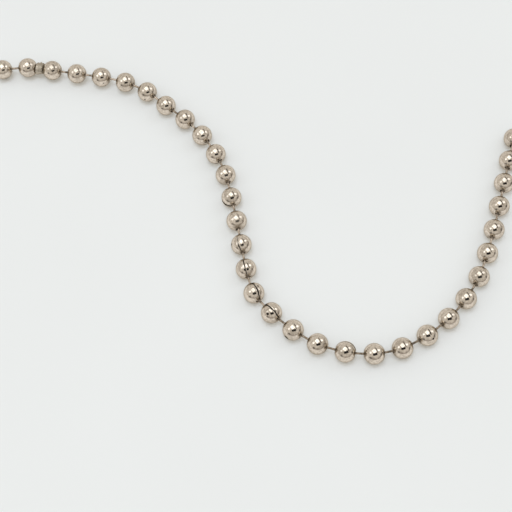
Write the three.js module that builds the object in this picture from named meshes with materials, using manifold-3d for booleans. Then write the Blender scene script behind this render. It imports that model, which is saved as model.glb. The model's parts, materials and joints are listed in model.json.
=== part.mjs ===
// Roller blind chain: hollow steel balls held together by dumbbell links whose heads are trapped in
// the balls. The run lies in a curve on a flat surface, with the crimped joiner that closes the loop
// between its second and third ball.
// Millimetres, +Z up. The balls rest on Z = 0 and the origin is under the middle of the run.
import * as THREE from 'three';
import { mergeVertices } from 'three/addons/utils/BufferGeometryUtils.js';
import Module from 'manifold-3d';

// Ball: a shell rolled from strip, with a hole at each pole and an open seam from pole to pole
const ballRadius = 2.25;
const ballWall = 0.35;
const ballGap = 1.5; // clear space between two balls when the chain is taut
const seamWidth = 0.14;

// Link: a rod with a round head at each end
const rodRadius = 0.25;
const rodPlay = 0.37; // clear space round the rod in a ball's hole
const headGrip = 0.18; // how much larger a head's radius is than the hole's
const headPlay = 0.05; // clear space between a head and the hole's inner rim

// Collar that fills the hole where a link is one piece with its ball
const collarGrip = 0.08; // how far the collar reaches into the ball's wall
const collarSink = 0.05; // how far it stays below the ball's outside

// Joiner: a sleeve with an open slit, crimped on the cut ends of two short links
const sleeveRadius = 1.5;
const sleeveEdge = 0.2; // width and depth of the bevel at each end
const sleeveSlit = 0.25;
const sleeveSlitTurn = -42; // degrees from straight up, positive to the left of the run
const borePlay = 0.04; // clear space round a rod in the sleeve's bore
const sleeveBallGap = 0.3; // clear space between the sleeve and each ball beside it
const cutGap = 0.3; // space between the two cut ends inside the bore

// How the run lies: the first link's heading, then the turn at each of so many balls, in degrees.
// Where held is true, the links in front of those balls are one piece with them.
const firstHeading = 1;
const bends = [
  { balls: 1, turn: -16 },
  { balls: 2, turn: 0 },
  { balls: 1, turn: -4 },
  { balls: 2, turn: -14 },
  { balls: 1, turn: 3 },
  { balls: 1, turn: -8 },
  { balls: 3, turn: -10 },
  { balls: 3, turn: -1 },
  { balls: 1, turn: 5 },
  { balls: 1, turn: 26 },
  { balls: 2, turn: 8 },
  { balls: 1, turn: 16 },
  { balls: 1, turn: 12 },
  { balls: 2, turn: 17 },
  { balls: 2, turn: 10 },
  { balls: 2, turn: 10, held: true },
  { balls: 2, turn: 3, held: true },
  { balls: 3, turn: 0, held: true },
];
const joinerAfter = 2; // the joiner stands in for the link after this ball

// Where each seam faces, in degrees from straight up, positive to the left of the run
const turnedUpSeams = { 13: -100, 15: -28, 16: -8, 17: 17, 18: 2, 19: -85, 21: 35 };
const undersideSeam = 180;
const seamSpread = 50; // the other seams lie within this of the underside
const seamTwist = 2.4; // radians by which the twist of the chain moves from ball to ball

// Facets
const ballSides = 12;
const ballOuterStrips = 7; // an odd number, so that the middle strip lies flat on the ground
const ballInnerStrips = 3;
const linkSides = 6;
const headStrips = 4;
const sleeveSides = 16;
const sleeveDishStrips = 3;
const cutterSpare = 1.5; // how many times the shell's size a cutter reaches

// Sizes that follow
const holeRadius = rodRadius + rodPlay;
const headRadius = holeRadius + headGrip;
const innerRadius = ballRadius - ballWall;
const rimDepth = Math.sqrt(innerRadius ** 2 - holeRadius ** 2); // ball's centre to inner rim
const headReach = Math.sqrt((headRadius + headPlay) ** 2 - holeRadius ** 2); // head to inner rim
const headCentre = rimDepth - headReach; // ball's centre to head's centre on a taut chain
const pitch = 2 * ballRadius + ballGap;
const linkLength = pitch - 2 * headCentre; // from head's centre to head's centre
const neckAngle = Math.asin(rodRadius / headRadius); // where the rod leaves the head
const boreRadius = rodRadius + borePlay;
const dishRadius = ballRadius + sleeveBallGap;

const wasm = await Module();
wasm.setup();

function radians(degrees) {
  return THREE.MathUtils.degToRad(degrees);
}

// Points [along the axis, out from it] on a circle about the origin, between two polar angles
function arc(radius, from, to, strips) {
  const points = [];
  const count = Math.round(strips);
  for (let i = 0; i <= count; i += 1) {
    const angle = from + ((to - from) * i) / count;
    points.push([radius * Math.cos(angle), radius * Math.sin(angle)]);
  }
  return points;
}

// The same arc with its flats on the circle and its corners outside it
function arcAround(radius, from, to, strips) {
  const halfStrip = Math.abs(to - from) / Math.round(strips) / 2;
  return arc(radius / Math.cos(halfStrip), from, to, strips);
}

function shifted(points, along) {
  return points.map((point) => [point[0] + along, point[1]]);
}

// Turns an outline about the X axis, with a flat straight below
function turned(outline, sides) {
  const points = outline.map((point) => new THREE.Vector2(point[1], point[0]));
  const count = Math.round(sides);
  const geometry = new THREE.LatheGeometry(points, count, Math.PI / count);
  return geometry.rotateZ(-Math.PI / 2);
}

// A hollow turned piece, its outline closed on itself and its flats at the true radius
function turnedShell(outline, sides) {
  const toFlats = 1 / Math.cos(Math.PI / Math.round(sides));
  const scaled = outline.map((point) => [point[0], point[1] * toFlats]);
  return turned([...scaled, scaled[0]], sides);
}

function toSolid(geometry) {
  const bare = geometry.clone();
  bare.deleteAttribute('normal');
  bare.deleteAttribute('uv');
  const merged = mergeVertices(bare);
  const mesh = new wasm.Mesh({
    numProp: 3,
    vertProperties: merged.attributes.position.array,
    triVerts: Uint32Array.from(merged.index.array),
  });
  return new wasm.Manifold(mesh);
}

function toGeometry(solid) {
  const mesh = solid.getMesh();
  const geometry = new THREE.BufferGeometry();
  geometry.setAttribute('position', new THREE.BufferAttribute(mesh.vertProperties, 3));
  geometry.setIndex(new THREE.BufferAttribute(mesh.triVerts, 1));
  geometry.computeVertexNormals();
  return geometry;
}

// A thin block from the X axis outwards, which opens a shell of that radius along one side
function slitCutter(radius, width, turn) {
  const length = 2 * radius * cutterSpare;
  const depth = radius * cutterSpare;
  const block = new THREE.BoxGeometry(length, width, depth);
  block.translate(0, 0, depth / 2);
  return block.rotateX(-radians(turn));
}

function ballShell(seamTurn) {
  const outerEdge = Math.asin(holeRadius / ballRadius);
  const innerEdge = Math.asin(holeRadius / innerRadius);
  const outline = [
    ...arcAround(ballRadius, Math.PI - outerEdge, outerEdge, ballOuterStrips),
    ...arc(innerRadius, innerEdge, Math.PI - innerEdge, ballInnerStrips),
  ];
  const shell = toSolid(turnedShell(outline, ballSides));
  return shell.subtract(toSolid(slitCutter(ballRadius, seamWidth, seamTurn)));
}

// A head at the rear end of a rod, and one at its front end
function rearHead(centre) {
  return shifted(arc(headRadius, Math.PI, neckAngle, headStrips), centre);
}

function frontHead(centre) {
  return shifted(arc(headRadius, Math.PI - neckAngle, 0, headStrips), centre);
}

// A whole link, its middle at the origin
function plainLink() {
  return turned([...rearHead(-linkLength / 2), ...frontHead(linkLength / 2)], linkSides);
}

// A short link for the joiner: one head, and the rod cut off just before the origin
function cutLink() {
  const cutEnd = -cutGap / 2;
  return turned([...rearHead(-linkLength / 2), [cutEnd, rodRadius], [cutEnd, 0]], linkSides);
}

// A link that is one piece with its ball: a collar fills the hole in place of the rear head,
// whose centre would be at the origin
function collaredLink() {
  const collarRadius = holeRadius + collarGrip;
  const collarEnd = headReach + ballWall - collarSink;
  const outline = [
    [headReach, 0],
    [headReach, collarRadius],
    [collarEnd, collarRadius],
    [collarEnd, rodRadius],
    ...frontHead(linkLength),
  ];
  return turned(outline, ballSides);
}

function ballWithLink(seamTurn, linkTurn) {
  const link = collaredLink().rotateZ(radians(linkTurn)).translate(headCentre, 0, 0);
  return ballShell(seamTurn).add(toSolid(link));
}

// The sleeve's front end, dished round the ball there, from the bevel down to the bore
function sleeveDish() {
  const outside = Math.asin((sleeveRadius - sleeveEdge) / dishRadius);
  const inside = Math.asin(boreRadius / dishRadius);
  return shifted(arc(dishRadius, Math.PI - outside, Math.PI - inside, sleeveDishStrips), pitch / 2);
}

function joinerSleeve() {
  const front = sleeveDish();
  const rear = front.map((point) => [-point[0], point[1]]).reverse();
  const bevel = front[0][0] - sleeveEdge;
  const outline = [[-bevel, sleeveRadius], [bevel, sleeveRadius], ...front, ...rear];
  const sleeve = toSolid(turnedShell(outline, sleeveSides));
  return sleeve.subtract(toSolid(slitCutter(sleeveRadius, sleeveSlit, sleeveSlitTurn)));
}

function ballFinish() {
  return new THREE.MeshStandardMaterial({ color: 0xbbb0a3, roughness: 0.2, metalness: 1 });
}

function linkFinish() {
  return new THREE.MeshStandardMaterial({ color: 0xb3a99c, roughness: 0.3, metalness: 1 });
}

function sleeveFinish() {
  return new THREE.MeshStandardMaterial({ color: 0xa69c8f, roughness: 0.35, metalness: 1 });
}

function placed(name, geometry, material, place, heading) {
  const mesh = new THREE.Mesh(geometry, material);
  mesh.name = name;
  mesh.position.copy(place);
  mesh.rotation.z = radians(heading);
  return mesh;
}

function numbered(word, number) {
  return `${word}_${String(number).padStart(2, '0')}`;
}

function step(heading, length) {
  return new THREE.Vector3(length, 0, 0).applyAxisAngle(new THREE.Vector3(0, 0, 1), radians(heading));
}

function headingsOfLinks() {
  const headings = [firstHeading];
  for (const bend of bends) {
    for (let i = 0; i < bend.balls; i += 1) {
      headings.push(headings.at(-1) + bend.turn);
    }
  }
  return headings;
}

// Each ball turns half of the way from the link behind it to the link in front of it
function headingsOfBalls(links) {
  const inner = links.slice(1).map((heading, i) => (links[i] + heading) / 2);
  return [links[0], ...inner, links.at(-1)];
}

// For each link in turn, whether it is one piece with the ball behind it
function heldFlags() {
  const flags = [false];
  for (const bend of bends) {
    for (let i = 0; i < bend.balls; i += 1) {
      flags.push(bend.held === true);
    }
  }
  return flags;
}

function seamTurnOf(number) {
  return turnedUpSeams[number] ?? undersideSeam + seamSpread * Math.sin(seamTwist * number);
}

function joinerPieces(middle, heading) {
  return [
    placed('link_end_rear', cutLink(), linkFinish(), middle, heading),
    placed('joiner_sleeve', toGeometry(joinerSleeve()), sleeveFinish(), middle, heading),
    placed('link_end_front', cutLink(), linkFinish(), middle, heading + 180),
  ];
}

function makeChain() {
  const chain = new THREE.Group();
  const linkHeadings = headingsOfLinks();
  const ballHeadings = headingsOfBalls(linkHeadings);
  const held = heldFlags();
  const place = new THREE.Vector3(0, 0, ballRadius);
  ballHeadings.forEach((ballHeading, i) => {
    const number = i + 1;
    const linkHeading = linkHeadings[i];
    const onePiece = held[i] === true;
    const seamTurn = seamTurnOf(number);
    const ball = onePiece ? ballWithLink(seamTurn, linkHeading - ballHeading) : ballShell(seamTurn);
    chain.add(placed(numbered('ball', number), toGeometry(ball), ballFinish(), place, ballHeading));
    if (linkHeading === undefined) return;

    place.add(step(ballHeading, headCentre));
    const middle = place.clone().add(step(linkHeading, linkLength / 2));
    if (number === joinerAfter) {
      chain.add(...joinerPieces(middle, linkHeading));
    } else if (!onePiece) {
      chain.add(placed(numbered('link', number), plainLink(), linkFinish(), middle, linkHeading));
    }
    place.add(step(linkHeading, linkLength)).add(step(ballHeadings[i + 1], headCentre));
  });
  return chain;
}

const chain = makeChain();
const bounds = new THREE.Box3().setFromObject(chain, true);
const middle = bounds.getCenter(new THREE.Vector3());
chain.position.set(-middle.x, -middle.y, -bounds.min.z);

const blindChain = new THREE.Group();
blindChain.add(chain);
export default blindChain;
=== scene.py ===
import json
import math
import random

import bmesh
import bpy
from mathutils import Matrix, Vector, noise


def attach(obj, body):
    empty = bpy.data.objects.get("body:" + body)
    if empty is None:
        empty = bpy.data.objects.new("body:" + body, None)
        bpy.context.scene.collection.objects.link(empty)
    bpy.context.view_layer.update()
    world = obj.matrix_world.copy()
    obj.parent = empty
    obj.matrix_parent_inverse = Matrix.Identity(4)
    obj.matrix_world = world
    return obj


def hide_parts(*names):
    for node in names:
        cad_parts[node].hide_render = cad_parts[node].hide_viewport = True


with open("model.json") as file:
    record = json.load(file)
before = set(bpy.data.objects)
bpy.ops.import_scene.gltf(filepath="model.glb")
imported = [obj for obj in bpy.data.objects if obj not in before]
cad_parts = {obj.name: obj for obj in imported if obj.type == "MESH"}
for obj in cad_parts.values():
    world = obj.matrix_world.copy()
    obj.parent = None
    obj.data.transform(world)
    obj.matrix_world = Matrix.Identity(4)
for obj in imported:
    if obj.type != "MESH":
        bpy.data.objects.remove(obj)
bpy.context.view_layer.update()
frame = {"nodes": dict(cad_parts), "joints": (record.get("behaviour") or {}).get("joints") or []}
mm = 0.001
print("frame loaded,", len(frame["nodes"]), "pieces")


# camera, placed as the photo was taken
photoView = {
    "imageWidth": 512,  # pixels
    "focalPixels": 1164.5,
    "sensorWidth": 36.0,
    "distance": 251.5 * mm,
    "elevation": 63.25,  # degrees above the table
    "roll": 4.9,
    "nearClip": 0.01,
    "aim": (-2.04 * mm, -15.1 * mm, 2.25 * mm),  # what the middle of the picture shows
}


def cameraAxes():
    elevation = math.radians(photoView["elevation"])
    roll = math.radians(photoView["roll"])
    right = Vector((1, 0, 0))
    up = Vector((0, math.sin(elevation), math.cos(elevation)))
    back = Vector((0, -math.cos(elevation), math.sin(elevation)))
    pictureRight = right * math.cos(roll) - up * math.sin(roll)
    pictureUp = right * math.sin(roll) + up * math.cos(roll)
    return pictureRight, pictureUp, back


def placeCamera():
    data = bpy.data.cameras.new("photoCamera")
    data.sensor_width = photoView["sensorWidth"]
    data.lens = photoView["focalPixels"] / photoView["imageWidth"] * photoView["sensorWidth"]
    data.clip_start = photoView["nearClip"]
    camera = bpy.data.objects.new("photoCamera", data)
    bpy.context.scene.collection.objects.link(camera)
    pictureRight, pictureUp, back = cameraAxes()
    turn = Matrix((pictureRight, pictureUp, back)).transposed().to_4x4()
    place = Vector(photoView["aim"]) + back * photoView["distance"]
    camera.matrix_world = Matrix.Translation(place) @ turn
    bpy.context.scene.camera = camera
    return camera


camera = placeCamera()
print("camera placed")


# small helpers for node materials
def newMaterial(name):
    material = bpy.data.materials.new(name)
    material.use_nodes = True
    nodes = material.node_tree.nodes
    return material, nodes, material.node_tree.links, nodes["Principled BSDF"]


def noiseNode(nodes, links, coordinate, scale, detail=3.0, roughness=0.5):
    texture = nodes.new("ShaderNodeTexNoise")
    texture.inputs["Scale"].default_value = scale
    texture.inputs["Detail"].default_value = detail
    texture.inputs["Roughness"].default_value = roughness
    links.new(coordinate, texture.inputs["Vector"])
    return texture


def rampNode(nodes, links, factor, stops):
    ramp = nodes.new("ShaderNodeValToRGB")
    while len(ramp.color_ramp.elements) < len(stops):
        ramp.color_ramp.elements.new(0.5)
    for element, (place, colour) in zip(ramp.color_ramp.elements, stops):
        element.position = place
        element.color = (*colour, 1.0)
    links.new(factor, ramp.inputs["Fac"])
    return ramp


def mapRange(nodes, links, value, low, high, toLow=0.0, toHigh=1.0):
    node = nodes.new("ShaderNodeMapRange")
    node.interpolation_type = "SMOOTHSTEP"
    for socket, number in (("From Min", low), ("From Max", high), ("To Min", toLow), ("To Max", toHigh)):
        node.inputs[socket].default_value = number
    links.new(value, node.inputs["Value"])
    return node.outputs["Result"]


def mathNode(nodes, links, operation, first, second=None):
    node = nodes.new("ShaderNodeMath")
    node.operation = operation
    for socket, value in zip(node.inputs, (first, second)):
        if value is None:
            continue
        if isinstance(value, (int, float)):
            socket.default_value = value
        else:
            links.new(value, socket)
    return node.outputs["Value"]


def mixColour(nodes, links, factor, first, second):
    node = nodes.new("ShaderNodeMix")
    node.data_type = "RGBA"
    links.new(factor, node.inputs["Factor"])
    # 6, 7 and 2 are the sockets for colours
    for socket, value in ((node.inputs[6], first), (node.inputs[7], second)):
        if isinstance(value, tuple):
            socket.default_value = (*value, 1.0)
        else:
            links.new(value, socket)
    return node.outputs[2]


# table
tableLook = {
    "radius": 3.0,
    "corners": 96,
    "cloudScale": 18.0,
    "colour": (0.804, 0.865, 0.906),
    "shadeColour": (0.79, 0.85, 0.89),
    "roughness": 0.45,
    "shine": 0.25,
    "shadowLiftGlow": (0.90, 0.80, 0.66),  # an even warm glow, for camera and mirror rays only, that lifts and warms the table's shadows
    "shadowLiftShare": 0.17,
    "mirrorColour": (0.98, 0.99, 1.0),  # how the balls see it
}


def tableMaterial():
    material, nodes, links, shader = newMaterial("paleTable")
    coordinate = nodes.new("ShaderNodeTexCoord").outputs["Object"]
    cloud = noiseNode(nodes, links, coordinate, tableLook["cloudScale"], 2.0)
    stops = [(0.3, tableLook["shadeColour"]), (0.7, tableLook["colour"])]
    ramp = rampNode(nodes, links, cloud.outputs["Fac"], stops)
    lightPath = nodes.new("ShaderNodeLightPath").outputs
    mirrored = lightPath["Is Glossy Ray"]
    colour = mixColour(nodes, links, mirrored, ramp.outputs["Color"], tableLook["mirrorColour"])
    links.new(colour, shader.inputs["Base Color"])
    shader.inputs["Roughness"].default_value = tableLook["roughness"]
    shader.inputs["Specular IOR Level"].default_value = tableLook["shine"]
    # painted light: the warm glow mixed in for camera and mirror rays lifts and warms the table's shadows
    liftGlow = nodes.new("ShaderNodeEmission")
    liftGlow.inputs["Color"].default_value = (*tableLook["shadowLiftGlow"], 1.0)
    seen = mathNode(nodes, links, "MAXIMUM", lightPath["Is Camera Ray"], lightPath["Is Glossy Ray"])
    share = mathNode(nodes, links, "MULTIPLY", seen, tableLook["shadowLiftShare"])
    mix = nodes.new("ShaderNodeMixShader")
    links.new(share, mix.inputs["Fac"])
    links.new(shader.outputs["BSDF"], mix.inputs[1])
    links.new(liftGlow.outputs["Emission"], mix.inputs[2])
    links.new(mix.outputs["Shader"], nodes["Material Output"].inputs["Surface"])
    return material


def makeTable():
    mesh = bpy.data.meshes.new("table")
    radius, corners = tableLook["radius"], tableLook["corners"]
    angles = [2 * math.pi * i / corners for i in range(corners)]
    ring = [(math.cos(angle) * radius, math.sin(angle) * radius, 0.0) for angle in angles]
    mesh.from_pydata(ring, [], [list(range(corners))])
    table = bpy.data.objects.new("table", mesh)
    bpy.context.scene.collection.objects.link(table)
    mesh.materials.append(tableMaterial())


makeTable()


# lights: a soft box overhead that shows in the metal only, a lamp of its own for the table, a smaller box at
# each side, and the pale room round them
roomLook = {
    "cameraColour": (0.80, 0.82, 0.815),
    "ceiling": (0.75, 0.71, 0.655),
    "lowWall": (0.45, 0.415, 0.38),  # on the side that the photo was taken from
    "lowWallToward": (0.45, -0.90),
    "lowWallSide": (-0.1, 0.3),  # all ceiling, all wall, going round toward it
    "lowWallTop": (0.05, 0.55),  # all wall, all ceiling, as the sine of the elevation
    # dark stands at the edge of the room that the balls reflect: where, and the cosine of how wide
    "stands": [((0.949, -0.233, 0.211), 0.985), ((-0.676, -0.706, 0.207), 0.985)],
    "standBlur": (0.015, 0.01),
    "standShade": 0.6,
    "standColour": (0.02, 0.02, 0.02),
}

lightLook = {
    "overhead": {"toward": (-0.06, 0.12, 1.0), "distance": 1.5, "size": (0.98, 1.10), "turn": 12.0,
                 "radiance": 1.5, "colour": (0.97, 1.0, 1.02), "onTable": False},
    "tableLamp": {"toward": (-0.08, -0.04, 1.0), "distance": 1.5, "size": (0.66, 0.66), "turn": 0.0,
                  "radiance": 5.25, "colour": (0.935, 1.0, 1.105), "mirrored": False},
    "rightSide": {"toward": (0.68, 0.25, 0.69), "distance": 0.9, "size": (0.30, 0.48), "turn": 0.0,
                  "radiance": 1.3, "colour": (0.96, 1.0, 1.04)},
    "leftSide": {"toward": (-0.68, -0.07, 0.73), "distance": 0.9, "size": (0.30, 0.34), "turn": 0.0,
                 "radiance": 1.2, "colour": (0.96, 1.0, 1.04)},
}
areaLightPower = math.pi * math.pi / 4  # watts for each square metre and unit of radiance


def makeRoom():
    world = bpy.data.worlds.new("room")
    bpy.context.scene.world = world
    world.use_nodes = True
    nodes, links = world.node_tree.nodes, world.node_tree.links
    nodes.clear()
    direction = nodes.new("ShaderNodeTexCoord").outputs["Generated"]
    split = nodes.new("ShaderNodeSeparateXYZ")
    links.new(direction, split.inputs["Vector"])
    toward = nodes.new("ShaderNodeVectorMath")
    toward.operation = "DOT_PRODUCT"
    toward.inputs[1].default_value = (*roomLook["lowWallToward"], 0.0)
    links.new(direction, toward.inputs[0])
    onLowSide = mapRange(nodes, links, toward.outputs["Value"], *roomLook["lowWallSide"])
    down = mapRange(nodes, links, split.outputs["Z"], *roomLook["lowWallTop"], 1.0, 0.0)
    low = mathNode(nodes, links, "MULTIPLY", onLowSide, down)
    colour = mixColour(nodes, links, low, roomLook["ceiling"], roomLook["lowWall"])
    outer, inner = roomLook["standBlur"]
    for place, edge in roomLook["stands"]:
        near = nodes.new("ShaderNodeVectorMath")
        near.operation = "DOT_PRODUCT"
        near.inputs[1].default_value = place
        links.new(direction, near.inputs[0])
        cosine = near.outputs["Value"]
        onStand = mapRange(nodes, links, cosine, edge - outer, edge + inner, 0.0, roomLook["standShade"])
        colour = mixColour(nodes, links, onStand, colour, roomLook["standColour"])
    roomLight = nodes.new("ShaderNodeBackground")
    links.new(colour, roomLight.inputs["Color"])
    backdrop = nodes.new("ShaderNodeBackground")
    backdrop.inputs["Color"].default_value = (*roomLook["cameraColour"], 1.0)
    lightPath = nodes.new("ShaderNodeLightPath")
    mix = nodes.new("ShaderNodeMixShader")
    links.new(lightPath.outputs["Is Camera Ray"], mix.inputs["Fac"])
    links.new(roomLight.outputs["Background"], mix.inputs[1])
    links.new(backdrop.outputs["Background"], mix.inputs[2])
    output = nodes.new("ShaderNodeOutputWorld")
    links.new(mix.outputs["Shader"], output.inputs["Surface"])


def makeLights():
    for name, look in lightLook.items():
        data = bpy.data.lights.new(name, "AREA")
        data.shape = "RECTANGLE"
        data.size, data.size_y = look["size"]
        data.energy = look["radiance"] * areaLightPower * look["size"][0] * look["size"][1]
        data.color = look["colour"]
        light = bpy.data.objects.new(name, data)
        bpy.context.scene.collection.objects.link(light)
        light.visible_glossy = look.get("mirrored", True)
        light.visible_diffuse = look.get("onTable", True)
        toward = Vector(look["toward"]).normalized()
        spin = Matrix.Rotation(math.radians(look["turn"]), 3, "Z").to_quaternion()
        turn = toward.to_track_quat("Z", "Y") @ spin
        light.matrix_world = Matrix.Translation(toward * look["distance"]) @ turn.to_matrix().to_4x4()


darkSheetLook = {"tint": (1.0, 0.93, 0.85), "roughness": 0.8}


def reflectionOnly(name, corners, shade):
    # a dark sheet that only reflections show
    mesh = bpy.data.meshes.new(name)
    mesh.from_pydata(corners, [], [(0, 1, 2, 3)])
    sheet = bpy.data.objects.new(name, mesh)
    bpy.context.scene.collection.objects.link(sheet)
    material, nodes, links, shader = newMaterial(name + "Black")
    shader.inputs["Base Color"].default_value = (*[shade * tint for tint in darkSheetLook["tint"]], 1.0)
    shader.inputs["Roughness"].default_value = darkSheetLook["roughness"]
    mesh.materials.append(material)
    sheet.visible_camera = False
    sheet.visible_diffuse = False
    sheet.visible_shadow = False


cameraCard = {"width": 0.20, "height": 0.105, "nearer": 0.01, "aside": 0.045, "below": 0.019, "turn": 14.0,
              "shade": 0.012}


def makeCameraCard():
    # what the balls see of the camera itself
    pictureRight, pictureUp, back = cameraAxes()
    middle = Vector(photoView["aim"]) + back * (photoView["distance"] - cameraCard["nearer"])
    middle += pictureRight * cameraCard["aside"] - pictureUp * cameraCard["below"]
    turn = math.radians(cameraCard["turn"])
    halfWide = (pictureRight * math.cos(turn) + pictureUp * math.sin(turn)) * cameraCard["width"] / 2
    halfHigh = (pictureUp * math.cos(turn) - pictureRight * math.sin(turn)) * cameraCard["height"] / 2
    corners = [middle - halfWide - halfHigh, middle + halfWide - halfHigh,
               middle + halfWide + halfHigh, middle - halfWide + halfHigh]
    reflectionOnly("cameraCard", corners, cameraCard["shade"])


boomArm = {"from": (0.419, -0.178, 0.55), "to": (0.144, 0.576, 0.55), "width": 0.115, "shade": 0.06}


def makeBoom():
    # the arm that holds the overhead box: the balls see it as a dark line beside the box
    start, end = Vector(boomArm["from"]), Vector(boomArm["to"])
    across = (end - start).cross(Vector((0, 0, 1))).normalized() * boomArm["width"] / 2
    corners = [start - across, start + across, end + across, end - across]
    reflectionOnly("boomArm", corners, boomArm["shade"])


makeRoom()
makeLights()
makeCameraCard()
makeBoom()
print("table, room and lights made")


# how the run lies, as the frame's own solids do
chainLay = {
    "firstHeading": 1,  # degrees
    "bends": [(1, -16), (2, 0), (1, -4), (2, -14), (1, 3), (1, -8), (3, -10), (3, -1), (1, 5), (1, 26),
              (2, 8), (1, 16), (1, 12), (2, 17), (4, 10), (2, 3), (3, 0)],  # so many balls, the turn at each
    "joinerAfter": 2,
    "lastLooseLink": 25,  # each later link rides with the ball behind it
    "headCentre": 1.2145 * mm,  # from a ball's centre to the head trapped in it
    "linkLength": 3.571 * mm,  # between the centres of a link's two heads
}


def unitStep(heading):
    angle = math.radians(heading)
    return Vector((math.cos(angle), math.sin(angle), 0))


def layOut():
    links = [chainLay["firstHeading"]]
    for count, turn in chainLay["bends"]:
        for _ in range(count):
            links.append(links[-1] + turn)
    balls = [links[0]] + [(a + b) / 2 for a, b in zip(links, links[1:])] + [links[-1]]
    place = Vector(frame["joints"][0]["pos_m"]) - unitStep(balls[0]) * chainLay["headCentre"]
    route = []
    for i, heading in enumerate(balls):
        entry = {"number": i + 1, "centre": place.copy(), "heading": heading, "linkHeading": None}
        if i < len(links):
            rear = place + unitStep(heading) * chainLay["headCentre"]
            front = rear + unitStep(links[i]) * chainLay["linkLength"]
            entry["linkMiddle"] = (rear + front) / 2
            entry["linkHeading"] = links[i]
            place = front + unitStep(balls[i + 1]) * chainLay["headCentre"]
        route.append(entry)
    return route


def numbered(word, number):
    return f"{word}_{number:02d}"


route = layOut()
print("run laid out,", len(route), "balls")


# mesh helpers: every piece is made round its own X axis and its mesh is then put in its place
sharpAngle = math.radians(40)


def lieOf(place, heading, turn=0.0):
    # turn is about the piece's own axis, positive to the left of the run
    lie = Matrix.Rotation(math.radians(heading), 4, "Z") @ Matrix.Rotation(-math.radians(turn), 4, "X")
    return Matrix.Translation(place) @ lie


noPit = ((0.0, 0.0, 0.0), 0.0)


def makePiece(name, points, faces, material, lie, pattern=0.0, dull=0.0, pit=noPit, seamShades=None):
    mesh = bpy.data.meshes.new(name)
    mesh.from_pydata(points, [], faces)
    mesh.update()
    work = bmesh.new()
    work.from_mesh(mesh)
    bmesh.ops.recalc_face_normals(work, faces=work.faces)
    for face in work.faces:
        face.smooth = True
    for edge in work.edges:
        edge.smooth = edge.calc_face_angle(0.0) < sharpAngle
    work.to_mesh(mesh)
    work.free()
    ownPlace = mesh.attributes.new("ownPlace", "FLOAT_VECTOR", "POINT")
    ownPlace.data.foreach_set("vector", [number for vertex in mesh.vertices for number in vertex.co])
    ownPit = mesh.attributes.new("ownPit", "FLOAT_VECTOR", "POINT")
    ownPit.data.foreach_set("vector", list(pit[0]) * len(mesh.vertices))
    ownSeamShade = mesh.attributes.new("ownSeamShade", "FLOAT", "POINT")
    ownSeamShade.data.foreach_set("value", seamShades or [0.0] * len(mesh.vertices))
    for word, value in (("ownPattern", pattern), ("ownDull", dull), ("ownPitSize", pit[1])):
        attribute = mesh.attributes.new(word, "FLOAT", "POINT")
        attribute.data.foreach_set("value", [value] * len(mesh.vertices))
    mesh.transform(lie)
    mesh.materials.append(material)
    piece = bpy.data.objects.new(name, mesh)
    bpy.context.scene.collection.objects.link(piece)
    return piece


def circleArc(centre, radius, fromAngle, toAngle, steps):
    # points (along, out) on a circle, angles in radians from the axis
    points = []
    for i in range(steps + 1):
        angle = fromAngle + (toAngle - fromAngle) * i / steps
        points.append((centre[0] + radius * math.cos(angle), centre[1] + radius * math.sin(angle)))
    return points


def lathe(profile, sides):
    # turns an open profile that starts and ends on the axis
    points = [(profile[0][0], 0.0, 0.0)]
    for along, out in profile[1:-1]:
        for j in range(sides):
            angle = 2 * math.pi * j / sides
            points.append((along, out * math.cos(angle), out * math.sin(angle)))
    points.append((profile[-1][0], 0.0, 0.0))
    faces = [(0, 1 + (j + 1) % sides, 1 + j) for j in range(sides)]
    rings = len(profile) - 2
    for i in range(rings - 1):
        for j in range(sides):
            a = 1 + i * sides + j
            b = 1 + i * sides + (j + 1) % sides
            faces.append((a, b, b + sides, a + sides))
    last = 1 + (rings - 1) * sides
    faces += [(last + j, last + (j + 1) % sides, len(points) - 1) for j in range(sides)]
    return points, faces


# materials
nickelLook = {
    "colour": (0.75, 0.683, 0.598),
    "dullColour": (0.50, 0.448, 0.382),
    "edgeColour": (0.53, 0.51, 0.465),  # at a glancing angle
    "dirtAndPaintedLightColour": (0.26, 0.225, 0.18),
    "seamShadeAndPitBlack": (0.03, 0.025, 0.02),
    "roughness": 0.035,
    "dullRoughness": 0.10,
    "roughRange": (0.40, 0.75),  # where in the clouds it goes from one to the other
    "markRoughness": 0.5,  # added where the marks lie: dirt, darkening and the sleeve's painted light
    "wornRoughness": 0.16,  # added on the dullest pieces
    "wornDarkness": 0.0,  # how far they go over into the dull colour
    # patches, fine grain, specks, scratches and ripples of the plating: scale is how many to a metre, range
    # is where a patch begins and is full, share is how much it then counts
    "cloudScale": 420.0,
    "cloudRange": (0.48, 0.68),
    "cloudShare": 0.6,
    "grainScale": 2500.0,
    "grainRange": (0.44, 0.60),
    "grainShare": 0.75,
    "speckScale": 1500.0,
    "speckRange": (0.72, 0.78),
    "speckShare": 0.6,
    "scratchScale": 9000.0,
    "scratchStretch": (1.0, 0.12, 0.12),
    "scratchStrength": 0.25,
    "scratchDepth": 0.0015 * mm,
    "rippleScale": 2300.0,
    "rippleStrength": 0.5,
    "rippleDepth": 0.0028 * mm,
    "pitBlur": (-0.05 * mm, 0.06 * mm),
}


def attributeNode(nodes, name, output):
    attribute = nodes.new("ShaderNodeAttribute")
    attribute.attribute_name = name
    return attribute.outputs[output]


def ownNoise(nodes, links, coordinate, pattern, scale, detail=3.0, roughness=0.55):
    # noise in the piece's own coordinates, with another pattern on each piece
    texture = noiseNode(nodes, links, coordinate, scale, detail, roughness)
    texture.noise_dimensions = "4D"
    links.new(pattern, texture.inputs["W"])
    return texture.outputs["Fac"]


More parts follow.
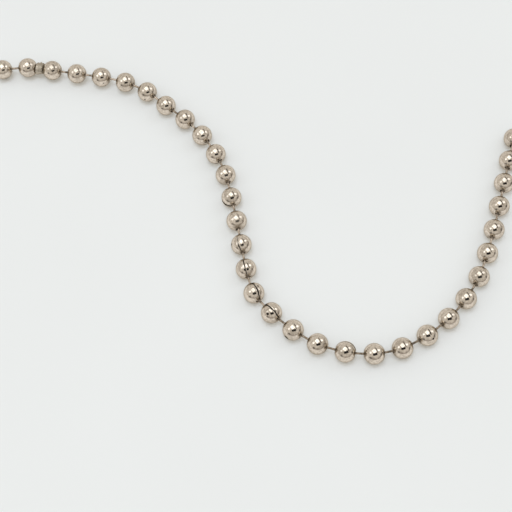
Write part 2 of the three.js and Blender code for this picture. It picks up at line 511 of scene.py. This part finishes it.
def pitFactor(nodes, links, coordinate, blur):
    # 1 in the piece's own pit, if it has one: a black spot painted on, with no hollow in the mesh
    away = nodes.new("ShaderNodeVectorMath")
    away.operation = "DISTANCE"
    links.new(coordinate, away.inputs[0])
    links.new(attributeNode(nodes, "ownPit", "Vector"), away.inputs[1])
    size = attributeNode(nodes, "ownPitSize", "Fac")
    inside = mathNode(nodes, links, "SUBTRACT", size, away.outputs["Value"])
    return mapRange(nodes, links, inside, *blur)


def nickelMaterial(name, look, markMask):
    # the mask function gives a factor from the piece's own coordinates: 1 where balls and links are darker
    # round their holes and ends, and where the sleeve carries painted light
    material, nodes, links, shader = newMaterial(name)
    coordinate = attributeNode(nodes, "ownPlace", "Vector")
    pattern = attributeNode(nodes, "ownPattern", "Fac")
    cloud = ownNoise(nodes, links, coordinate, pattern, look["cloudScale"])
    dull = mapRange(nodes, links, cloud, *look["cloudRange"], 0.0, look["cloudShare"])
    grain = ownNoise(nodes, links, coordinate, pattern, look["grainScale"], 3.0, 0.6)
    grain = mapRange(nodes, links, grain, *look["grainRange"], 0.0, look["grainShare"])
    dull = mathNode(nodes, links, "ADD", dull, grain)
    worn = attributeNode(nodes, "ownDull", "Fac")
    dull = mathNode(nodes, links, "ADD", dull, mathNode(nodes, links, "MULTIPLY", worn, look["wornDarkness"]))
    colour = mixColour(nodes, links, dull, look["colour"], look["dullColour"])
    speck = ownNoise(nodes, links, coordinate, pattern, look["speckScale"], 2.0)
    speck = mapRange(nodes, links, speck, *look["speckRange"], 0.0, look["speckShare"])
    # specks of dirt, the darkening round holes and link ends, and on the sleeve the painted light at its ends
    markAmount = mathNode(nodes, links, "MAXIMUM", markMask(nodes, links, coordinate, pattern), speck)
    colour = mixColour(nodes, links, markAmount, colour, look["dirtAndPaintedLightColour"])
    # painted shade: black in and beside the seams, and a black spot at each pit
    seamShadeAndPit = attributeNode(nodes, "ownSeamShade", "Fac")
    seamShadeAndPit = mathNode(nodes, links, "MAXIMUM", seamShadeAndPit, pitFactor(nodes, links, coordinate, look["pitBlur"]))
    colour = mixColour(nodes, links, seamShadeAndPit, colour, look["seamShadeAndPitBlack"])
    links.new(colour, shader.inputs["Base Color"])
    shader.inputs["Metallic"].default_value = 1.0
    shader.inputs["Specular Tint"].default_value = (*look["edgeColour"], 1.0)
    roughness = mapRange(nodes, links, cloud, *look["roughRange"], look["roughness"], look["dullRoughness"])
    markRoughOff = mathNode(nodes, links, "MULTIPLY", markAmount, look["markRoughness"])
    roughness = mathNode(nodes, links, "ADD", roughness, markRoughOff)
    wornOff = mathNode(nodes, links, "MULTIPLY", worn, look["wornRoughness"])
    roughness = mathNode(nodes, links, "ADD", roughness, wornOff)
    links.new(roughness, shader.inputs["Roughness"])
    stretch = nodes.new("ShaderNodeMapping")
    stretch.inputs["Scale"].default_value = look["scratchStretch"]
    links.new(coordinate, stretch.inputs["Vector"])
    scratches = ownNoise(nodes, links, stretch.outputs["Vector"], pattern, look["scratchScale"], 2.0)
    bump = nodes.new("ShaderNodeBump")
    bump.inputs["Strength"].default_value = look["scratchStrength"]
    bump.inputs["Distance"].default_value = look["scratchDepth"]
    links.new(scratches, bump.inputs["Height"])
    ripple = nodes.new("ShaderNodeBump")
    ripple.inputs["Strength"].default_value = look["rippleStrength"]
    ripple.inputs["Distance"].default_value = look["rippleDepth"]
    ripples = ownNoise(nodes, links, coordinate, pattern, look["rippleScale"], 1.0)
    links.new(ripples, ripple.inputs["Height"])
    links.new(bump.outputs["Normal"], ripple.inputs["Normal"])
    links.new(ripple.outputs["Normal"], shader.inputs["Normal"])
    return material


def splitAxes(nodes, links, coordinate):
    split = nodes.new("ShaderNodeSeparateXYZ")
    links.new(coordinate, split.inputs["Vector"])
    return split.outputs


def outFromAxis(nodes, links, axes):
    square = mathNode(nodes, links, "MULTIPLY", axes["Y"], axes["Y"])
    otherSquare = mathNode(nodes, links, "MULTIPLY", axes["Z"], axes["Z"])
    return mathNode(nodes, links, "SQRT", mathNode(nodes, links, "ADD", square, otherSquare))


# balls: shells rolled from strip
ballShape = {
    "radius": 2.25 * mm,
    "wall": 0.35 * mm,
    "hole": 0.52 * mm,
    "lip": 0.2 * mm,  # radius of the rolled edge round each hole
    "lipSteps": 5,
    "seamWidth": 0.18 * mm,
    "seamDip": 0.07 * mm,  # how far the strip's edges bend in at the seam
    "seamWander": 0.5,  # how much the gap's width varies along it
    "seamWaves": 1.8,
    "openSeam": 0.08 * mm,  # the dip and the painted shade are full where half the gap is this wide
    "seamShadeReach": 0.08 * mm,  # how far the seam's painted shade spreads beside it
    "seamSides": {"middle": 180, "spread": 50, "twist": 2.4},  # where the seams that don't show face
    "edgeColumns": (0.0, 0.03 * mm, 0.08 * mm, 0.15 * mm, 0.26 * mm, 0.40 * mm),
    "columnsClose": 1.1 * mm,  # nearer to the axis these draw together
    "columns": 56,
    "rows": 34,
    "innerRows": 8,
    "waviness": 0.006 * mm,
    "wavesPerBall": 3.2,
    "dentDepth": 0.035 * mm,
    "dentReach": 0.5,  # radians on the ball, of the largest dent
}

# where the seams that show face, in degrees from straight up, positive to the left of the run
seamTurns = {13: -88, 15: -20, 16: -8, 17: 17, 18: 2, 21: 48}

# worn balls: shallow dents, how dull each has gone, how wide its seam stands open beside the usual and how
# much wider at its front end, and a pit: how far right and up of the ball's middle the photo shows it, in
# radii, and the pit's radius in mm
wornBalls = {
    1: {"dull": 0.3},
    2: {"dull": 0.3},
    3: {"dull": 0.3},
    4: {"dull": 0.35},
    5: {"dull": 0.35, "pit": (0.21, -0.63, 0.14)},
    6: {"dull": 0.25},
    7: {"pit": (-0.25, -0.78, 0.2)},
    10: {"dents": 3},
    11: {"dents": 3, "dull": 0.3},
    12: {"dents": 2, "dull": 0.3},
    13: {"open": 1.7, "flare": 0.7, "pit": (-0.60, -0.72, 0.32)},
    14: {"dull": 1.0},
    15: {"dents": 3, "dull": 0.4, "open": 0.45, "flare": 1.3, "pit": (-0.93, 0.0, 0.25)},
    16: {"open": 0.95, "flare": 0.35},
    17: {"open": 1.15, "pit": (0.38, 0.66, 0.2)},
    18: {"open": 1.0, "flare": -0.1, "pit": (-0.37, -0.10, 0.30)},
    19: {"dull": 0.3, "pit": (-0.64, -0.72, 0.5)},
    21: {"open": 0.8, "flare": 0.8},
    24: {"dents": 1, "pit": (0.55, -0.32, 0.23)},
    29: {"dents": 3},
    31: {"dents": 3, "dull": 0.2},
}


def wearOf(number):
    return {"dents": 0, "dull": 0.0, "open": 1.0, "flare": 0.0, "pit": None, **wornBalls.get(number, {})}


def seamTurnOf(number):
    sides = ballShape["seamSides"]
    return seamTurns.get(number, sides["middle"] + sides["spread"] * math.sin(sides["twist"] * number))


def shellProfile():
    # closed profile (along, out): outside from rear to front, front lip, inside, rear lip
    radius, hole, lip = ballShape["radius"], ballShape["hole"], ballShape["lip"]
    inner = radius - ballShape["wall"]
    lipOut = hole + lip
    lipAlong = math.sqrt((radius - lip) ** 2 - lipOut ** 2)
    lipAngle = math.atan2(lipOut, lipAlong)
    outside = circleArc((0, 0), radius, math.pi - lipAngle, lipAngle, ballShape["rows"])
    frontLip = circleArc((lipAlong, lipOut), lip, lipAngle, -math.pi / 2, ballShape["lipSteps"])[1:]
    innerAngle = math.asin(hole / inner)
    inside = circleArc((0, 0), inner, innerAngle, math.pi - innerAngle, ballShape["innerRows"])
    rearLip = [(-along, out) for along, out in reversed(frontLip)]
    return outside, frontLip, inside, rearLip


def makeDents(number):
    dice = random.Random(900 + number)
    dents = []
    for _ in range(wearOf(number)["dents"]):
        across, high = dice.uniform(-0.8, 0.8), dice.uniform(-0.9, 0.9)
        toward = Vector((across, high, 1.0)).normalized()
        dents.append((toward, dice.uniform(0.5, 1.0)))
    return dents


def outsideShift(point, number, dents, upright):
    # how far the outside lies off the true ball there
    toward = point.normalized()
    place = toward * ballShape["wavesPerBall"] / 2 + Vector((number * 3.7, number * 1.3, 0))
    shift = (noise.noise(place) - 1) * ballShape["waviness"]
    for dent, size in dents:
        away = (upright @ toward).angle(dent, 0.0) / (ballShape["dentReach"] * size)
        if away < 1:
            shift -= ballShape["dentDepth"] * size * (1 - away * away) ** 2
    return shift


def ballMesh(number):
    outside, frontLip, inside, rearLip = shellProfile()
    profile = outside + frontLip + inside + rearLip
    edges, middleSteps = ballShape["edgeColumns"], ballShape["columns"]
    dents = makeDents(number)
    wear = wearOf(number)
    seamWidth = ballShape["seamWidth"] * wear["open"]
    upright = Matrix.Rotation(-math.radians(seamTurnOf(number)), 3, "X")
    points, seamShades = [], []
    for i, (along, out) in enumerate(profile):
        place = Vector((along / ballShape["radius"] * ballShape["seamWaves"], number * 2.9, 0.0))
        wander = noise.noise(place)
        flare = max(0.1, 1 + wear["flare"] * along / ballShape["radius"])
        halfGap = seamWidth / 2 * flare * (1 + ballShape["seamWander"] * 2 * wander)
        openness = min(1.0, halfGap / ballShape["openSeam"])
        seamDip = ballShape["seamDip"] * openness
        narrow = min(1.0, out / ballShape["columnsClose"])
        nearSeam = [math.asin(min(1.0, (halfGap + edge * narrow) / out)) for edge in edges]
        span = 2 * math.pi - 2 * nearSeam[-1]
        middle = [nearSeam[-1] + span * j / middleSteps for j in range(1, middleSteps)]
        angles = nearSeam + middle + [2 * math.pi - angle for angle in reversed(nearSeam)]
        onOutside = i < len(outside)
        for j, angle in enumerate(angles):
            fromEdge = min(j, len(angles) - 1 - j)
            point = Vector((along, out * math.sin(angle), out * math.cos(angle)))
            if onOutside:
                shift = outsideShift(point, number, dents, upright)
                if fromEdge < len(edges):
                    shift -= seamDip * (1 - edges[fromEdge] / edges[-1]) ** 2
                point += point.normalized() * shift
            points.append(point)
            # painted shade of the seam: full at the gap's edge, none at the shade's reach from it
            edge = edges[fromEdge] if fromEdge < len(edges) else edges[-1]
            seamShades.append(max(0.0, 1 - edge / ballShape["seamShadeReach"]) * openness)
    columns = len(edges) * 2 + middleSteps - 1
    count = len(profile)
    faces = []
    for i in range(count):
        here, after = i * columns, (i + 1) % count * columns
        faces += [(here + j, here + j + 1, after + j + 1, after + j) for j in range(columns - 1)]
    # the strip's two cut edges, which face each other across the seam
    outer = list(range(len(outside)))
    inner = [count - 1 - len(rearLip) - k for k in range(len(inside))]
    rear = [(count - k) % count for k in range(len(rearLip) + 1)]
    front = list(range(len(outside) - 1, len(outside) + len(frontLip)))
    for column in (0, columns - 1):
        faces += seamEdge(outer, inner, rear, front, column, columns)
    return points, faces, seamShades


def seamEdge(outer, inner, rear, front, column, columns):
    faces = [[k * columns + column for k in rear] + [inner[0] * columns + column]]
    faces += [[k * columns + column for k in front] + [inner[-1] * columns + column]]
    i = k = 0
    while i < len(outer) - 1 or k < len(inner) - 1:
        outerDone = i / (len(outer) - 1)
        innerDone = k / (len(inner) - 1)
        if k == len(inner) - 1 or (i < len(outer) - 1 and outerDone <= innerDone):
            corners = (outer[i], outer[i + 1], inner[k])
            i += 1
        else:
            corners = (outer[i], inner[k + 1], inner[k])
            k += 1
        faces.append([corner * columns + column for corner in corners])
    return faces


# reach is the distance from the axis, from full to none
ballLook = dict(nickelLook, darkReach=(ballShape["hole"], 0.72 * mm), darkShare=0.25,
                spreadReach=(0.85 * mm, 1.65 * mm), spreadScale=1100.0, spreadRange=(0.40, 0.64),
                spreadShares=(0.08, 0.46))


def darkRoundHoles(nodes, links, coordinate, pattern):
    # darker in and round both holes, and in blotches that spread from them
    axes = splitAxes(nodes, links, coordinate)
    out = outFromAxis(nodes, links, axes)
    inHoles = mapRange(nodes, links, out, *ballLook["darkReach"], ballLook["darkShare"], 0.0)
    blotch = ownNoise(nodes, links, coordinate, pattern, ballLook["spreadScale"], 4.0, 0.65)
    spreadDark = mapRange(nodes, links, blotch, *ballLook["spreadRange"], *ballLook["spreadShares"])
    spread = mapRange(nodes, links, out, *ballLook["spreadReach"], 1.0, 0.0)
    spreadDark = mathNode(nodes, links, "MULTIPLY", spreadDark, spread)
    return mathNode(nodes, links, "MAXIMUM", inHoles, spreadDark)


def pitOf(number, lie):
    # the pit's place in the ball's own coordinates, and its radius
    pit = wearOf(number)["pit"]
    if pit is None:
        return noPit
    right, up, size = pit
    towardCamera = (camera.matrix_world.translation - lie.translation).normalized()
    pictureRight = cameraAxes()[1].cross(towardCamera).normalized()
    pictureUp = towardCamera.cross(pictureRight)
    toward = pictureRight * right + pictureUp * up + towardCamera * math.sqrt(1 - right * right - up * up)
    return tuple(lie.to_3x3().inverted() @ toward * ballShape["radius"]), size * mm


def makeBalls():
    material = nickelMaterial("nickelBall", ballLook, darkRoundHoles)
    for entry in route:
        number = entry["number"]
        points, faces, seamShades = ballMesh(number)
        lie = lieOf(entry["centre"], entry["heading"], seamTurnOf(number))
        piece = makePiece(numbered("chainBall", number), points, faces, material, lie, number * 2.3,
                          wearOf(number)["dull"], pitOf(number, lie), seamShades)
        node = numbered("ball", number)
        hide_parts(node)
        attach(piece, node)


makeBalls()
print("balls made")


# links: a rod with a round head at each end
linkShape = {
    "rod": 0.25 * mm,
    "head": 0.79 * mm,
    "neck": 0.15 * mm,  # radius of the fillet between head and rod
    "waist": 0.02 * mm,  # how much the rod thins at its middle
    "sides": 24,
    "headSteps": 12,
    "neckSteps": 4,
    "cutGap": 0.3 * mm,  # between the two link ends in the joiner
}


def headProfile(centre):
    # from the tip of the rear head round to where its neck meets the rod
    head, rod, neck = linkShape["head"], linkShape["rod"], linkShape["neck"]
    neckOut = rod + neck
    neckAlong = math.sqrt((head + neck) ** 2 - neckOut ** 2)
    meet = math.atan2(neckOut, neckAlong)
    around = circleArc((centre, 0), head, math.pi, meet, linkShape["headSteps"])
    neckMiddle = (centre + neckAlong, neckOut)
    fillet = circleArc(neckMiddle, neck, math.pi + meet, 1.5 * math.pi, linkShape["neckSteps"])
    return around + fillet[1:]


def linkMesh():
    half = chainLay["linkLength"] / 2
    rear = headProfile(-half)
    waist = [(0.0, linkShape["rod"] - linkShape["waist"])]
    front = [(-along, out) for along, out in reversed(rear)]
    return lathe(rear + waist + front, linkShape["sides"])


def cutLinkMesh():
    rear = headProfile(-chainLay["linkLength"] / 2)
    cut = -linkShape["cutGap"] / 2
    return lathe(rear + [(cut, linkShape["rod"]), (cut, 0.0)], linkShape["sides"])


linkLook = dict(nickelLook, colour=(0.62, 0.54, 0.465), dullColour=(0.30, 0.245, 0.185), roughness=0.25,
                dullRoughness=0.45, wornDarkness=0.75, darkReach=(0.62 * mm, 0.95 * mm), darkShare=0.6,
                blotchScale=1300.0, blotchRange=(0.50, 0.62), blotchShare=0.8)
# how dark each of these links has gone
darkLinks = {1: 0.5, 3: 0.4, 8: 0.6, 17: 0.5, 18: 0.8, 19: 0.9, 20: 1.0, 21: 1.0, 22: 0.8, 23: 1.0, 24: 0.8,
             25: 0.7, 26: 0.6, 31: 0.4}


def darkLinkEnds(nodes, links, coordinate, pattern):
    # darker toward both ends, where the rod goes into its balls, and blotches along it
    axes = splitAxes(nodes, links, coordinate)
    along = mathNode(nodes, links, "ABSOLUTE", axes["X"])
    atEnds = mapRange(nodes, links, along, *linkLook["darkReach"], 0.0, linkLook["darkShare"])
    blotch = ownNoise(nodes, links, coordinate, pattern, linkLook["blotchScale"], 3.0)
    blotch = mapRange(nodes, links, blotch, *linkLook["blotchRange"], 0.0, linkLook["blotchShare"])
    return mathNode(nodes, links, "MAXIMUM", atEnds, blotch)


def makeLinks():
    material = nickelMaterial("nickelLink", linkLook, darkLinkEnds)
    for entry in route:
        number = entry["number"]
        if entry["linkHeading"] is None:
            continue
        if number == chainLay["joinerAfter"]:
            makeCutLinks(entry, material)
            continue
        lie = lieOf(entry["linkMiddle"], entry["linkHeading"])
        piece = makePiece(numbered("chainLink", number), *linkMesh(), material, lie, number * 1.7,
                          darkLinks.get(number, 0.0))
        loose = number <= chainLay["lastLooseLink"]
        node = numbered("link" if loose else "ball", number)
        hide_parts(node)
        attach(piece, node)


def makeCutLinks(entry, material):
    for name, node, turn in (("linkEndRear", "link_end_rear", 0), ("linkEndFront", "link_end_front", 180)):
        lie = lieOf(entry["linkMiddle"], entry["linkHeading"] + turn)
        piece = makePiece(name, *cutLinkMesh(), material, lie, turn)
        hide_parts(node)
        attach(piece, "joiner")


makeLinks()
print("links made")


# joiner: a sleeve with an open slit, crimped on the two cut links
joinerShape = {
    "radius": 1.5 * mm,
    "bore": 0.29 * mm,
    "rearDish": 2.52 * mm,  # radius of the dished end round the ball behind it
    "frontDish": 2.52 * mm,
    "edge": 0.24 * mm,  # radius of its rounded rims
    "edgeSteps": 5,
    "dishSteps": 6,
    "rings": 5,  # from its middle to each rim
    "slit": 0.09 * mm,
    "slitTurn": -62,  # degrees from straight up, positive to the left of the run
    "slitDip": 0.14 * mm,  # how far the jaws bend in beside the slit
    "edgeColumns": (0.0, 0.04 * mm, 0.1 * mm, 0.18 * mm, 0.3 * mm),
    "columns": 48,
    "lean": 0.14 * mm,  # how far the crimp has squeezed it out of round
    "leanTurn": 0.7,  # radians
    "rumple": 0.8,  # unevenness as a share of the lean
    "rumpleWaves": (1.6, 2.0),  # to a mm along it, to a radian round it
    "pinch": 0.32 * mm,  # how far its front end is squeezed in on the near side
    "pinchTurn": -105,
    "pinchFrom": -0.5 * mm,  # begins here, counted from its middle, and is full after the next
    "pinchRun": 1.3 * mm,
    "burrTurn": 66,  # degrees from straight up: a burr of the strip on the far side
    "burrHeight": 0.30 * mm,
    "burrReach": 0.30 * mm,
    "burrAlong": 0.05 * mm,
}


def sleeveReach(along, out, angle, edgeAway):
    # how far from the axis the sleeve's skin lies there, dipped at the slit and uneven from the crimp
    outer = (out / joinerShape["radius"]) ** 2
    dip = joinerShape["slitDip"] * (1 - edgeAway) ** 2 if edgeAway < 1 else 0.0
    squeeze = joinerShape["lean"] * (1 - math.cos(2 * angle + joinerShape["leanTurn"])) / 2
    wavesAlong, wavesRound = joinerShape["rumpleWaves"]
    place = Vector((along / mm * wavesAlong, angle * wavesRound, 4.0))
    rumple = joinerShape["lean"] * joinerShape["rumple"] * noise.noise(place)
    pinchAngle = angle - math.radians(joinerShape["pinchTurn"] - joinerShape["slitTurn"])
    atFront = max(0.0, min(1.0, (along - joinerShape["pinchFrom"]) / joinerShape["pinchRun"]))
    pinch = joinerShape["pinch"] * max(0.0, math.cos(pinchAngle)) ** 2 * atFront
    burrAngle = math.radians(joinerShape["burrTurn"] - joinerShape["slitTurn"])
    turnAway = (angle - burrAngle + math.pi) % (2 * math.pi) - math.pi
    away = math.hypot(turnAway * out, along - joinerShape["burrAlong"]) / joinerShape["burrReach"]
    burr = joinerShape["burrHeight"] * (1 - away * away) ** 2 if away < 1 else 0.0
    return out + outer * (burr - dip - squeeze - pinch - abs(rumple))


def sleeveHalf(dishRadius):
    # from its middle to its end and down the dished end to the bore
    radius, edge = joinerShape["radius"], joinerShape["edge"]
    ballAway = (chainLay["linkLength"] + 2 * chainLay["headCentre"]) / 2
    outAngle = math.asin((radius - edge) / dishRadius)
    inAngle = math.asin(joinerShape["bore"] / dishRadius)
    dishAngles = (math.pi - outAngle, math.pi - inAngle)
    dish = circleArc((ballAway, 0), dishRadius, *dishAngles, joinerShape["dishSteps"])
    rim, rings = dish[0][0] - edge, joinerShape["rings"]
    corner = circleArc((rim, radius - edge), edge, math.pi / 2, 0.0, joinerShape["edgeSteps"])[:-1]
    return [(rim * k / rings, radius) for k in range(1, rings)] + corner + dish


def sleeveMesh():
    front = sleeveHalf(joinerShape["frontDish"])
    rear = [(-along, out) for along, out in reversed(sleeveHalf(joinerShape["rearDish"]))]
    profile = front + rear + [(0.0, joinerShape["radius"])]
    halfSlit = joinerShape["slit"] / 2
    edges, columns = joinerShape["edgeColumns"], joinerShape["columns"]
    points = []
    for along, out in profile:
        nearSlit = [math.asin(min(0.95, (halfSlit + step) / out)) for step in edges]
        span = 2 * math.pi - 2 * nearSlit[-1]
        middle = [nearSlit[-1] + span * j / columns for j in range(1, columns)]
        angles = nearSlit + middle + [2 * math.pi - angle for angle in reversed(nearSlit)]
        for j, angle in enumerate(angles):
            fromEdge = min(j, len(angles) - 1 - j)
            edgeAway = edges[fromEdge] / edges[-1] if fromEdge < len(edges) else 1.0
            reach = sleeveReach(along, out, angle, edgeAway)
            points.append((along, reach * math.sin(angle), reach * math.cos(angle)))
    count, rowLength = len(profile), len(edges) * 2 + columns - 1
    faces = []
    for i in range(count):
        here, after = i * rowLength, (i + 1) % count * rowLength
        faces += [(here + j, here + j + 1, after + j + 1, after + j) for j in range(rowLength - 1)]
    faces += [[i * rowLength for i in range(count)], [i * rowLength + rowLength - 1 for i in range(count)]]
    return points, faces


# painted light: the sleeve's ends sit in the shade between it and the balls and are painted pale, so its
# colour for dirt and painted light is a bright one
sleeveLook = dict(nickelLook, colour=(0.58, 0.53, 0.45), dullColour=(0.38, 0.34, 0.275), roughness=0.38,
                  dullRoughness=0.5, dirtAndPaintedLightColour=(0.84, 0.79, 0.70), litEndsReach=(0.72 * mm, 0.95 * mm))


# painted light: 1 toward both ends of the sleeve, which sit in the shade of the balls
def litSleeveEnds(nodes, links, coordinate, pattern):
    along = mathNode(nodes, links, "ABSOLUTE", splitAxes(nodes, links, coordinate)["X"])
    return mapRange(nodes, links, along, *sleeveLook["litEndsReach"])


def makeJoiner():
    material = nickelMaterial("nickelSleeve", sleeveLook, litSleeveEnds)
    entry = route[chainLay["joinerAfter"] - 1]
    lie = lieOf(entry["linkMiddle"], entry["linkHeading"], joinerShape["slitTurn"])
    piece = makePiece("joinerSleeve", *sleeveMesh(), material, lie, 5.0)
    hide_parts("joiner_sleeve")
    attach(piece, "joiner")


makeJoiner()
print("joiner made")

bpy.context.scene.view_settings.view_transform = "Standard"
bpy.context.view_layer.update()
